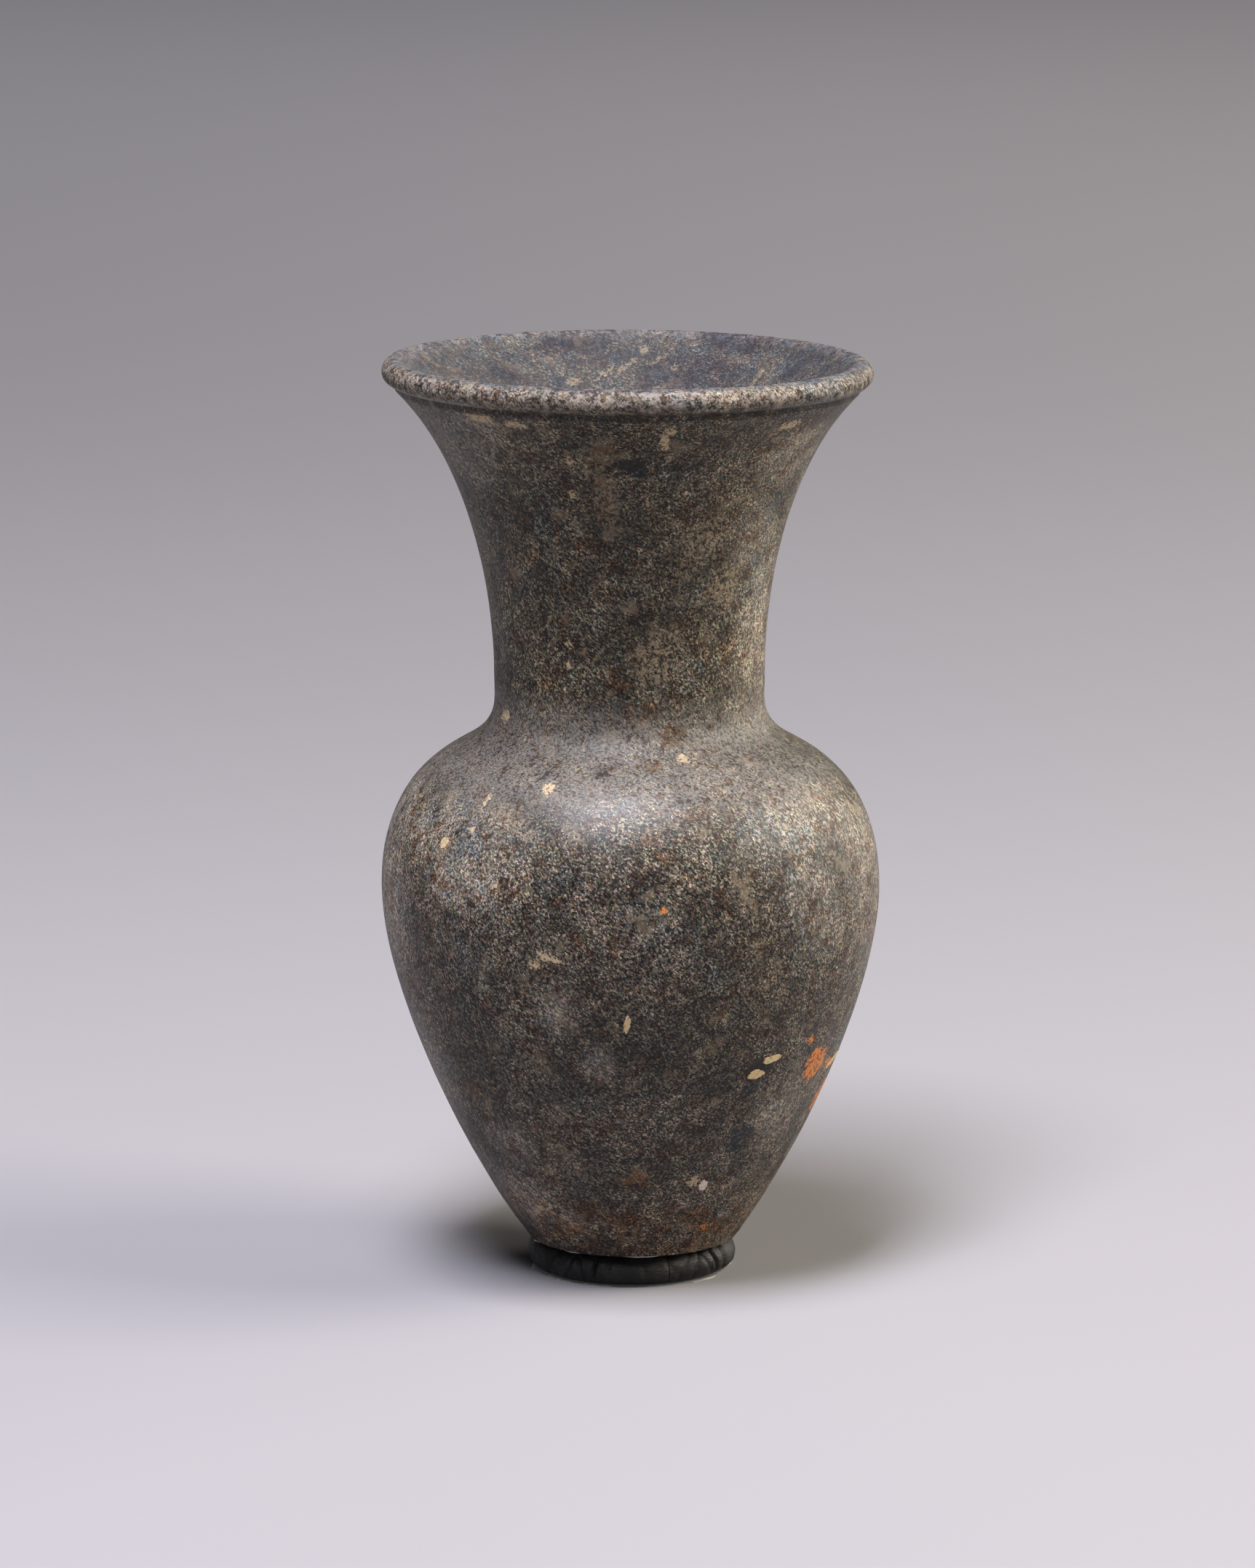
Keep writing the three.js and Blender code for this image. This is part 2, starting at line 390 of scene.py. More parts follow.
CHIP_RAGGEDNESS, CHIP_WAVES = 0.5, 1.6
BORE_STEP = 0.7
DRILL_PITCH, DRILL_DEPTH, DRILL_REACH = 2.8, 0.10, 1.5


def leaning(degrees):
    """A direction in the outline's plane, leaning outwards from upright."""
    return Vector((math.sin(math.radians(degrees)), math.cos(math.radians(degrees))))


def bend(start, start_lean, start_handle, end, end_lean, end_handle, count):
    """A smooth stretch of outline that leaves one point and reaches the next at given leans."""
    first = start + leaning(start_lean) * start_handle
    second = end - leaning(end_lean) * end_handle
    return interpolate_bezier(start, first, second, end, count)


def vase_outline():
    """Points of radius and height above the foot, from the foot's middle round to the cavity's."""
    shoulder_height = BELLY_HEIGHT + SHOULDER_RISE
    neck_height = shoulder_height + NECK_RISE
    foot = Vector((FOOT_RADIUS, FOOT_ARRIS))
    belly = Vector((BELLY_RADIUS, BELLY_HEIGHT))
    shoulder = Vector((SHOULDER_RADIUS, shoulder_height))
    neck = Vector((NECK_RADIUS, neck_height))
    flare = Vector((FLARE_RADIUS, neck_height + FLARE_RISE))
    lip_centre = flare + leaning(FLARE_LEAN - 90) * LIP_RADIUS
    lip_end = 180 - LIP_INNER_LEAN
    lip = [lip_centre + leaning(90 - angle) * LIP_RADIUS
           for angle in range(LIP_START, round(lip_end), LIP_STEP)]
    mouth = lip_centre + leaning(90 - lip_end) * LIP_RADIUS
    bore_top = Vector((BORE_RADIUS, neck_height + BORE_ABOVE_NECK))
    bore_bottom = Vector((BORE_RADIUS, neck_height - BORE_BELOW_NECK))
    cavity = Vector((CAVITY_RADIUS, BELLY_HEIGHT))
    cavity_floor = Vector((0, CAVITY_FLOOR))
    points = [Vector((radius, 0)) for radius in FOOT_FACE_RADII]
    points += bend(foot, FOOT_LEAN, FOOT_HANDLE, belly, 0, BELLY_HANDLES[0], 56)
    points += bend(belly, 0, BELLY_HANDLES[1], shoulder, -SHOULDER_LEAN, SHOULDER_HANDLES[0], 30)[1:]
    points += bend(shoulder, -SHOULDER_LEAN, SHOULDER_HANDLES[1], neck, 0, NECK_HANDLES[0], 18)[1:]
    points += [point for point in bend(neck, 0, NECK_HANDLES[1], flare, FLARE_LEAN, FLARE_HANDLE, 54)[1:]
               if (point - flare).length > GROOVE_REACH]
    points += lip
    points += bend(mouth, 180 + LIP_INNER_LEAN, MOUTH_HANDLE, bore_top, 180, BORE_HANDLE, 44)
    bore_rows = round((bore_top.y - bore_bottom.y) / BORE_STEP)
    points += [bore_top.lerp(bore_bottom, row / bore_rows) for row in range(1, bore_rows)]
    points += bend(bore_bottom, 180, CAVITY_SHOULDER_HANDLE, cavity, 180, CAVITY_HANDLES[0], 22)
    points += bend(cavity, 180, CAVITY_HANDLES[1], cavity_floor, -90, CAVITY_FLOOR_HANDLE, 26)[1:]
    return points


# Chips and dents in the stone: angle, height, half size and depth, in degrees and mm
CHIPS = [(-12, 144.6, 1.3, 0.16), (14, 144.9, 0.9, 0.12), (31, 144.2, 1.6, 0.14), (-34, 144.4, 1.8, 0.20),
         (-52, 143.8, 1.4, 0.18), (58, 144.7, 1.2, 0.14), (96, 144.5, 2.0, 0.20), (138, 144.9, 1.3, 0.12),
         (171, 144.4, 1.0, 0.12), (222, 144.8, 1.7, 0.14), (261, 144.0, 1.2, 0.18), (303, 144.6, 1.5, 0.16),
         (-22, 141.9, 0.9, 0.22), (5, 142.0, 1.1, 0.20), (44, 141.8, 0.9, 0.20), (-1.8, 6.2, 1.2, 0.30),
         (24, 5.9, 1.6, 0.35), (-31, 6.0, 1.4, 0.35), (66, 6.1, 1.8, 0.40), (120, 5.9, 1.6, 0.45),
         (205, 6.1, 2.0, 0.40), (279, 6.0, 1.5, 0.35), (2, 72.5, 0.8, 0.16), (-3.5, 69.1, 0.8, 0.14),
         (-28.2, 83.4, 0.9, 0.12), (36.2, 26.0, 2.6, 0.14), (35, 38.9, 1.2, 0.14), (-18.8, 56.9, 1.2, 0.10)]


def ground_place(place, normal, chips):
    """Where a point of the true form lies on the hand-ground and worn stone."""
    point = place / MM
    depth = SURFACE_DEPTH
    for per_mm, amount in UNEVENNESS:
        depth -= amount * noise.noise(point * per_mm)
    for centre, size, amount in chips:
        away = (point - centre).length / size
        if away < CHIP_REACH:
            raggedness = 1 + CHIP_RAGGEDNESS * noise.noise(point * CHIP_WAVES)
            depth += amount * math.exp(-(away * raggedness) ** 2)
    if abs(math.hypot(point.x, point.y) - BORE_RADIUS) < DRILL_REACH:
        depth -= DRILL_DEPTH * math.sin(2 * math.pi * point.z / DRILL_PITCH)
    if point.z < VASE_BOTTOM + 0.05:
        depth = 0.0
    point -= normal * depth
    level = (point.z - VASE_BOTTOM) / (VASE_TOP - VASE_BOTTOM)
    point.x += LEAN * (0.5 - level)
    to_right = (point.x + FLARE_RADIUS) / (2 * FLARE_RADIUS)
    point.z -= 2 * RIM_DROP * to_right * max(level - 0.5, 0.0)
    return point * MM


outline = vase_outline()


def outer_radius(height):
    """The vase's outer radius at a height above the shelf."""
    above_foot = height - VASE_BOTTOM
    for lower, upper in zip(outline, outline[1:]):
        if lower.y <= above_foot <= upper.y and upper.y > lower.y:
            return lower.lerp(upper, (above_foot - lower.y) / (upper.y - lower.y)).x
    return FLARE_RADIUS


bpy.ops.object.select_all(action="DESELECT")
bpy.ops.mesh.primitive_circle_add(vertices=3, radius=MM)
stone_vase = begin_piece("carved_stone_vase")
bpy.ops.mesh.select_all(action="SELECT")
bpy.ops.mesh.merge(type="CENTER")
bpy.ops.mesh.select_all(action="SELECT")
bpy.ops.transform.translate(value=(0, 0, VASE_BOTTOM * MM))
for here, there in zip(outline, outline[1:]):
    step = (there - here) * MM
    bpy.ops.mesh.extrude_region_move(TRANSFORM_OT_translate={"value": (0, -step.x, step.y)})
bpy.ops.mesh.select_all(action="SELECT")
bpy.ops.mesh.spin(steps=SPIN_STEPS, angle=2 * math.pi, center=(0, 0, 0), axis=(0, 0, -1))
bpy.ops.mesh.select_all(action="SELECT")
bpy.ops.mesh.remove_doubles(threshold=MERGE_DISTANCE)
bpy.ops.mesh.normals_make_consistent(inside=False)
bpy.ops.object.mode_set(mode="OBJECT")
chip_places = [(on_axis(degrees, outer_radius(height), height) / MM, size, depth)
               for degrees, height, size, depth in CHIPS]
normals = [vertex.normal.copy() for vertex in stone_vase.data.vertices]
for vertex, normal in zip(stone_vase.data.vertices, normals):
    vertex.co = ground_place(vertex.co, normal, chip_places)

# Marks on the stone: angle, height, half width and half height in mm, and slant in degrees.
# Rust has bled out of it, lime and clay have dried on it, and dark and blue minerals show. One dark mark
# beside the crust flakes is partly a gouge and partly painted shadow.
ORANGE_MARKS = [(59.6, 36.7, 3.0, 2.7, 20), (53.2, 41.1, 0.8, 0.8, 0), (77, 29.4, 2.1, 2.9, 25),
                (72, 34.9, 2.6, 0.8, 16), (35.8, 9.9, 1.1, 0.3, 30), (7.3, 65.2, 0.5, 0.45, 0),
                (150, 52, 2.6, 1.7, -20), (238, 30, 1.5, 2.6, 10)]
RUST_MARKS = [(84, 55, 1.0, 2.4, 0), (30, 12.4, 3.2, 1.7, 10), (-1, 12.6, 2.6, 1.5, 0),
              (2.2, 19.5, 2.4, 2.0, 0), (-17, 14, 2.4, 1.5, 0), (-5, 12.8, 2.0, 1.3, 0),
              (-29, 9.6, 1.8, 0.9, 0), (36, 10.4, 2.8, 1.6, 20), (8, 84.9, 1.6, 0.9, 0),
              (18, 89.0, 2.4, 1.6, 0), (17, 78.6, 2.0, 1.2, -20), (8.2, 73, 1.6, 1.3, 0),
              (33, 121, 2.0, 1.2, -30), (28, 124, 2.2, 1.3, -30), (-8, 125, 1.2, 2.6, 0),
              (-10, 129.5, 1.4, 1.0, 0), (-22, 127.6, 2.2, 1.2, 0), (-39, 122, 2.0, 2.4, 0),
              (-39, 117, 1.8, 1.2, 0), (-16, 119, 2.4, 1.6, 0), (-7, 134.6, 2.4, 1.0, 0),
              (13.5, 132.2, 2.0, 1.2, 0), (33.8, 116.6, 1.5, 1.2, 0), (-4, 97, 2.2, 1.5, 0),
              (6, 93, 2.6, 1.6, 0), (-37, 97, 1.8, 1.8, 0), (45, 101, 1.6, 2.6, 0),
              (24, 58, 2.0, 1.6, 0), (-52, 33, 2.8, 2.0, 0), (190, 40, 5, 3, 10), (120, 76, 4, 2, 0),
              (250, 84, 3, 2.4, 0), (210, 120, 3, 4, 0), (165, 14, 5, 2, 0)]
CREAM_MARKS = [(-85, 21.5, 1.2, 3.2, -8), (-50, 72.8, 0.8, 1.0, 0), (-32.5, 67.7, 0.6, 0.5, 0),
               (-41.8, 79.7, 0.35, 1.0, 10), (-42.5, 75.4, 0.6, 0.5, 0), (-24.2, 81.9, 1.0, 0.75, 0),
               (-18.8, 57.5, 2.1, 0.55, 18), (-22, 56.2, 0.8, 0.5, 0), (19.5, 85.7, 1.0, 0.4, 0),
               (-40, 139.2, 2.4, 0.8, 8), (-30, 138.4, 2.0, 0.6, 5), (9.2, 136.2, 0.75, 1.5, -12),
               (10.5, 138.0, 0.9, 0.7, 20), (-17.5, 132.9, 0.5, 1.2, -25), (-18.5, 127.3, 0.9, 0.6, 0),
               (-43, 12.6, 1.7, 0.45, -30), (22.8, 19, 1.0, 0.8, 0), (-16, 10.8, 0.5, 0.3, 0),
               (-2, 7.6, 0.5, 0.35, 0), (-26, 103, 0.6, 0.7, 0), (-26.3, 99.6, 0.5, 0.8, 0),
               (46, 137.5, 2.2, 0.6, -8), (130, 60, 2.4, 1.0, 25), (205, 74, 1.5, 2.4, 0),
               (295, 90, 1.4, 1.0, 0)]
TAN_MARKS = [(-7.6, 126, 1.8, 4.2, 0), (-12, 131, 1.3, 1.3, 0), (28, 119, 3.4, 5, 25),
             (40, 112, 3, 4, 0), (-40, 138, 4, 1.2, 8), (12, 101, 3, 5, 30), (-30, 77, 5, 1.2, 30),
             (230, 112, 5, 8, 0)]
# The dark mark at 36.6 degrees and 38.5 mm is partly a gouge and partly painted shadow of the crust flakes
DARK_MARKS_AND_SHADOW = [(-38.8, 64.5, 1.3, 0.5, 20), (2, 72.5, 0.7, 0.7, 0), (-3.5, 69.1, 0.8, 0.6, 0),
              (-28.2, 83.4, 0.35, 1.2, 35), (36.6, 38.5, 2.4, 1.5, 0), (0.8, 132.3, 2.0, 1.0, 0),
              (13.5, 131.6, 1.2, 0.8, 0), (20, 68, 0.5, 0.4, 0), (-9, 84, 1.3, 0.5, 0)]
SLATE_MARKS = [(36.2, 26.0, 2.7, 2.5, 0), (-45.8, 65.5, 0.8, 1.0, 0), (-14, 10.6, 1.8, 0.8, 0),
               (34, 35, 1.4, 1.8, 0), (2, 131, 1.8, 1.0, 0)]
DUSKY_MOUTH_MARKS = [(160, 138.6, 9, 3.0, 0), (150, 143.2, 6, 1.8, 0), (200, 142.6, 4, 1.6, 0),
                     (222, 139.5, 3.0, 2.0, 0), (30, 132, 6, 4, 0), (310, 138, 5, 3, 0)]
PALE_MOUTH_MARKS = [(176, 141.9, 0.8, 0.5, 0), (166, 139.5, 0.6, 0.4, 0), (136, 138.7, 0.5, 1.6, 0),
                    (199, 137.5, 1.3, 0.5, 10), (188, 138.6, 2.0, 0.25, 30), (181, 139.6, 2.2, 0.25, 32),
                    (172, 140.4, 1.8, 0.2, 30), (60, 135, 0.8, 0.6, 0)]
MARK_REACH = 1.6  # how far from its middle a mark is felt at all, in half sizes
MARK_THICKNESS = 4.0
# How soft a mark's edge is, as a share of its half size
HARD_EDGE, TORN_EDGE, SOFT_EDGE, POLISH_EDGE, SLATE_EDGE = 0.2, 0.5, 0.55, 0.6, 0.7
MARK_SHAKE = 3.2, 3.2, 3.2  # how far noise pulls the marks' outlines about, in mm
# Broad places where hands and cleaning have worn the stone pale, and where painted light and sheen lie: on
# the shoulders, down the right side and low on the left
WORN_AND_PAINTED_LIGHT_PLACES = [(-46, 76, 15, 7, 0), (-42, 68, 8, 4, 0), (-80, 75, 9, 7, 0), (50, 77, 14, 7, 0),
               (46, 67, 6, 4, 0), (76, 66, 12, 15, 0), (64, 104, 6, 15, 0), (60, 132, 9, 6, 0),
               (-75, 60, 8, 12, 0), (-70, 34, 6, 14, 0), (-50, 14, 8, 7, 0), (-42, 24, 4, 5, 0),
               (49, 29, 5, 7, 0), (-26, 11, 4, 2.5, 0), (-17, 49, 3, 4, 0), (-8, 40, 2.5, 3, 0),
               (-56, 132, 6, 6, 0), (-44, 137, 5, 3, 0), (52, 119, 5, 6, 0), (50, 61, 6, 5, 0),
               (60, 143.5, 14, 3, 0), (140, 78, 20, 8, 0), (215, 70, 22, 12, 0)]
# Broad places where the stone is duller and darker
DUSKY_PLACES = [(32, 41, 10, 17, 0), (36, 53, 5, 7, 0), (10, 42, 5, 6, 0), (12, 24, 7, 9, 0),
                (-44, 44, 7, 11, 0), (5, 103, 6, 6, 0), (30, 136, 9, 4, 0), (110, 40, 14, 16, 0),
                (190, 60, 16, 14, 0)]
# Where the shoulder has been rubbed until it shines
POLISHED_PLACES = [(-4, 80, 16, 7, 0), (160, 80, 16, 8, 0), (250, 80, 14, 7, 0)]
# Heights between which dust and painted light from above lie on the shoulder's upper side, from none to thick
# to none
DUST_AND_PAINTED_LIGHT_RISE, DUST_AND_PAINTED_LIGHT_FALL = (76.5, 82), (96, 89)
# Heights between which the lip's wear, its crest, the dirt and painted shade in its groove, the rust round
# the foot and the olive tint of the upper half set in or fade
LIP_WEAR = 140.2, 142.2
CREST = 142.8, 144.4
GROOVE_RISE, GROOVE_FALL = (139.2, 139.9), (141.3, 140.6)
FOOT_RUST = 19, 8
OLIVE_RISE = 60, 85
# A surface inside the wall, between mouth and outside: its radius grows with the square of
# the height above the throat. Below the neck it is a ball, drawn out upwards.
THROAT_HEIGHT, THROAT_RADIUS, THROAT_SPREAD = 108, 19, 0.0139
THROAT_FOOT = 86
WALL_BALL_HEIGHT, WALL_BALL_SIZE = 54, (35, 35, 42)
# The mouth's radius falls from the rim's by this step, then by this slope, which eases off
MOUTH_STEP, MOUTH_SLOPE, MOUTH_EASE = 2.5, 125, 1.9

CHARCOAL = (0.0045, 0.0040, 0.0037, 1)
STONE_TONE = (0.092, 0.080, 0.058, 1)
PALE_GRAIN = (0.30, 0.260, 0.184, 1)
# Gain and film at the worn places, which also stand for painted light and sheen
WORN_AND_PAINTED_LIGHT_GAIN = (1.34, 1.37, 1.46, 1)
WORN_FILM_AND_PAINTED_SHEEN = (0.180, 0.163, 0.138, 1)
LIP_FILM = (0.170, 0.150, 0.140, 1)
# Dust on the shoulder's upper side, and painted light and painted highlight from above there
DUST_AND_PAINTED_LIGHT = (0.205, 0.191, 0.174, 1)
FLECK = (0.42, 0.36, 0.28, 1)
OLIVE_TINT = (1.0, 1.01, 0.92, 1)
MOUTH_TONE = (0.048, 0.045, 0.049)
RUST_GAIN = (1.10, 0.68, 0.35, 1)
OLD_RUST = (0.64, 0.45, 0.31, 1)
UMBER = (0.46, 0.25, 0.13, 1)
BLUE_GREY = (0.62, 0.80, 1.02, 1)
TAN_FILM = (0.27, 0.21, 0.135, 1)
ORANGE = (0.52, 0.17, 0.035, 1)
CREAM = (0.50, 0.38, 0.23, 1)
DUSK = (0.72, 0.71, 0.70, 1)
# Dirt and painted shade in the groove under the lip
GROOVE_DIRT_AND_SHADE = (0.30, 0.27, 0.25, 1)
LIME = (0.30, 0.255, 0.225, 1)
# Dark minerals, and the painted shadow beside the crust flakes
DARK_MINERAL_AND_SHADOW = (0.008, 0.006, 0.005, 1)
SLATE = (0.24, 0.34, 0.52, 1)
MOUTH_DUSK = (0.62, 0.60, 0.68, 1)
TINT_SPREAD, TINT_BASE = (1.6, 0.9, 1.6), (0.22, 0.53, 0.20)
# Stains: a seed for their places, waves per mm, the noise at which they begin and are full, and
# their strength
BLUE_STAIN = 67, 0.10, 0.50, 0.66, 0.7
UMBER_STAIN = 13, 0.27, 0.53, 0.61, 0.75
TAN_STAIN = 91, 0.20, 0.55, 0.66, 0.34
MINERAL_STAIN = 29, 0.9, 0.66, 0.72, 0.85
DIRT_STAIN = 53, 0.75, 0.545, 0.61, 0.85
FLECK_STAIN = 17, 1.1, 0.57, 0.65, 0.55
FOOT_STAIN = 7, 0.5, 0.44, 0.56, 0.8
TORN_TAN_STAIN = 61, 1.3, 0.47, 0.56, 0.7
LIME_STAIN = 41, 0.8, 0.50, 0.57, 0.6
PIT_STAIN = 73, 0.75, 0.53, 0.59, 0.85
GROOVE_DIRT_AND_SHADE_PATCHES = 83, 0.4, 0.3, 0.6, 1.0
MOUTH_STAIN = 71, 0.35, 0.44, 0.60, 0.8
# How much of each layer's colour reaches the surface
PALE_SHARE, DARK_SHARE, FILM_AND_PAINTED_SHEEN_SHARE, DUST_AND_PAINTED_LIGHT_SHARE = 0.85, 0.88, 0.2, 0.68
RUST_SHARE, SLATE_SHARE, DARK_MARK_AND_SHADOW_SHARE, ORANGE_SHARE, CREAM_SHARE = 0.8, 0.9, 0.8, 0.92, 0.8
MOUTH_SHARE, PALE_MOUTH_SHARE = 0.52, 0.25
SHOW_THROUGH = 0.85  # how far dark grains show through crusts
CLOUD_SHADES, MOTTLE_SHADES = (0.62, 1.40), (0.55, 1.50)
SATIN, MATT, POLISH, POLISH_ROUGHNESS, STONE_SPECULAR = (0.44, 0.56), 0.75, 0.28, 0.5, 0.27
TONE_RELIEF, PIT_RELIEF, MOTTLE_RELIEF, LIP_RELIEF = 0.008, 0.012, 0.05, 0.35  # mm


def stone_grain_group():
    """Salt-and-pepper grains: how light the mass is, and where dark and pale grains lie."""
    group = bpy.data.node_groups.new("stone_grain", "ShaderNodeTree")
    group.interface.new_socket("Place", in_out="INPUT", socket_type="NodeSocketVector")
    group.interface.new_socket("WearAndPaintedLight", in_out="INPUT", socket_type="NodeSocketFloat")
    for name in ("Tone", "Dark", "Pale"):
        group.interface.new_socket(name, in_out="OUTPUT", socket_type="NodeSocketFloat")
    given = group.nodes.new("NodeGroupInput")
    result = group.nodes.new("NodeGroupOutput")
    place = given.outputs["Place"]
    shifted = vector_maths(group, "ADD", place, (37, 11, 5))
    group.links.new(ramp(group, grain(group, place, 3.2, 2, 0.65), 0.40, 0.60), result.inputs["Tone"])
    group.links.new(ramp(group, grain(group, shifted, 1.9, 3, 0.7), 0.47, 0.40), result.inputs["Dark"])
    # Pale grains are more numerous where the stone is worn and where light is painted
    wear_and_painted_light = product(group, given.outputs["WearAndPaintedLight"], 0.045)
    paleness = maths(group, "ADD", grain(group, shifted, 3.2, 2, 0.7), wear_and_painted_light)
    group.links.new(ramp(group, paleness, 0.53, 0.62), result.inputs["Pale"])
    return group


def ball_nearness(tree, place, centre, size, turn=(0, 0, 0)):
    """One in the middle of a ball drawn out to a size, falling to none at its surface."""
    within = add_node(tree, "ShaderNodeMapping", {
        "Vector": place, "Location": centre, "Rotation": turn, "Scale": size,
    }, vector_type="TEXTURE").outputs["Vector"]
    ball = add_node(tree, "ShaderNodeTexGradient", {"Vector": within}, gradient_type="SPHERICAL")
    return ball.outputs["Fac"]


def mark_mask(tree, place, marks, radius_at, softness):
    """Where any of the marks lies: each is an ellipse on the surface at its angle and height."""
    nearness = 0.0
    for degrees, height, half_width, half_height, slant in marks:
        centre = on_axis(degrees, radius_at(height), height) / MM
        size = Vector((half_width, MARK_THICKNESS, half_height)) * MARK_REACH
        turn = 0, math.radians(slant), math.radians(degrees)
        nearness = largest(tree, nearness, ball_nearness(tree, place, centre, size, turn))
    return ramp(tree, nearness, 1 - (1 + softness) / MARK_REACH, 1 - (1 - softness) / MARK_REACH)


def mouth_radius(height):
    """The mouth's inner radius, from the rim's inner edge down to the bore."""
    level = (VASE_TOP - height) / (VASE_TOP - VASE_BOTTOM)
    return max(BORE_RADIUS, FLARE_RADIUS - MOUTH_STEP - MOUTH_SLOPE * level * (1 - MOUTH_EASE * level))


def multiply_colour(tree, amount, colour, tint):
    """The colour multiplied by the tint, as far as the amount says."""
    return mix_colour(tree, amount, colour, tint, "MULTIPLY")


def scale_colour(tree, colour, factor):
    """The colour made lighter or darker by a factor that changes over the surface."""
    scaled = add_node(tree, "ShaderNodeVectorMath", {0: colour, "Scale": factor}, operation="SCALE")
    return scaled.outputs["Vector"]


def moved_by_seed(tree, place, seed):
    """The place moved along, so that noise with another seed falls elsewhere."""
    return vector_maths(tree, "ADD", place, (seed, 2 * seed, 3 * seed))


def stain(tree, place, seed, per_mm, low, high, most):
    """Ragged patches at random places, as a mask."""
    patches = grain(tree, moved_by_seed(tree, place, seed), per_mm, 6, 0.72)
    return product(tree, ramp(tree, patches, low, high), most)


def ragged(tree, mask, place, seed, per_mm=1.1):
    """A mask with its edges torn and a few holes in it."""
    torn = ramp(tree, grain(tree, moved_by_seed(tree, place, seed), per_mm, 5, 0.75), 0.32, 0.68, 0.15, 1.75)
    return ramp(tree, product(tree, mask, torn), 0.44, 0.56)


def band(tree, height, rise, fall):
    """One between two heights: it grows over the rise and shrinks over the fall."""
    return product(tree, ramp(tree, height, *rise), ramp(tree, height, *fall))


def inside_mask(tree, place, height):
    """One in the mouth, the bore and the cavity, and none on the outside."""
    rise = largest(tree, maths(tree, "SUBTRACT", height, THROAT_HEIGHT), 0.0)
    spread = product(tree, maths(tree, "POWER", rise, 2.0), THROAT_SPREAD)
    border = maths(tree, "ADD", spread, THROAT_RADIUS)
    beyond = maths(tree, "SUBTRACT", distance_from_axis(tree, place), border)
    throat = product(tree, ramp(tree, beyond, 0.6, -0.6), ramp(tree, height, THROAT_FOOT, THROAT_FOOT + 1))
    ball = ball_nearness(tree, place, (0, 0, WALL_BALL_HEIGHT), WALL_BALL_SIZE)
    return largest(tree, throat, ramp(tree, ball, 0.0, 0.02))


def grained_colour(tree, place, height, speckle, mottle):
    """Dark stone with its grains, each with its own tint, in lighter and darker clouds."""
    colour = mix_colour(tree, speckle.outputs["Tone"], CHARCOAL, STONE_TONE)
    colour = mix_colour(tree, product(tree, speckle.outputs["Pale"], PALE_SHARE), colour, PALE_GRAIN)
    colour = mix_colour(tree, product(tree, speckle.outputs["Dark"], DARK_SHARE), colour, CHARCOAL)
    tints = grain(tree, place, 2.2, 2, 0.6, "Color")
    tints = vector_maths(tree, "MULTIPLY_ADD", tints, TINT_SPREAD, TINT_BASE)
    colour = multiply_colour(tree, 1.0, colour, tints)
    cloud_shade = ramp(tree, grain(tree, place, 0.055, 5, 0.62), 0.3, 0.7, *CLOUD_SHADES)
    shade = product(tree, cloud_shade, ramp(tree, mottle, 0.3, 0.7, *MOTTLE_SHADES))
    colour = scale_colour(tree, colour, shade)
    return multiply_colour(tree, ramp(tree, height, *OLIVE_RISE), colour, OLIVE_TINT)


def worn_and_painted_light_colour(tree, colour, place, rubbed_and_painted_light, lip, wear_and_painted_light):
    """The colour duller at dusky places, paler where it is rubbed and where light is painted, and filmed over
    by wear and painted sheen.
    """
    dusky = mark_mask(tree, place, DUSKY_PLACES, outer_radius, SOFT_EDGE)
    colour = multiply_colour(tree, dusky, colour, DUSK)
    colour = multiply_colour(tree, rubbed_and_painted_light, colour, WORN_AND_PAINTED_LIGHT_GAIN)
    film_and_sheen_colour = mix_colour(tree, lip, WORN_FILM_AND_PAINTED_SHEEN, LIP_FILM)
    return mix_colour(tree, product(tree, wear_and_painted_light, FILM_AND_PAINTED_SHEEN_SHARE), colour, film_and_sheen_colour)


def stained_colour(tree, colour, place, brushed, height, wear_and_painted_light):
    """Stains that lie all over at random, and dust and painted light on the shoulder's upper side."""
    colour = multiply_colour(tree, stain(tree, place, *BLUE_STAIN), colour, BLUE_GREY)
    colour = multiply_colour(tree, stain(tree, place, *UMBER_STAIN), colour, UMBER)
    colour = mix_colour(tree, stain(tree, place, *TAN_STAIN), colour, TAN_FILM)
    colour = mix_colour(tree, stain(tree, place, *MINERAL_STAIN), colour, DARK_MINERAL_AND_SHADOW)
    grit = ramp(tree, grain(tree, brushed, 2.8, 3, 0.7), 0.40, 0.60, 0.1, 1.0)
    # Dust and painted light from above on the shoulder's upper side
    dusty_and_painted_light = product(tree, band(tree, height, DUST_AND_PAINTED_LIGHT_RISE, DUST_AND_PAINTED_LIGHT_FALL), grit, DUST_AND_PAINTED_LIGHT_SHARE)
    colour = mix_colour(tree, dusty_and_painted_light, colour, DUST_AND_PAINTED_LIGHT)
    colour = multiply_colour(tree, stain(tree, place, *DIRT_STAIN), colour, UMBER)
    return mix_colour(tree, product(tree, wear_and_painted_light, stain(tree, place, *FLECK_STAIN)), colour, FLECK)


def rusted_colour(tree, colour, place, warped, height):
    """Rust at its marks and all round the foot, where it is redder."""
    foot_rust = product(tree, ramp(tree, height, *FOOT_RUST), stain(tree, place, *FOOT_STAIN))
    rust = ragged(tree, mark_mask(tree, warped, RUST_MARKS, outer_radius, SOFT_EDGE), place, 3)
    rust = product(tree, largest(tree, rust, foot_rust), RUST_SHARE)
    tint = mix_colour(tree, ramp(tree, height, 40, 20), OLD_RUST, RUST_GAIN)
    return multiply_colour(tree, rust, colour, tint)


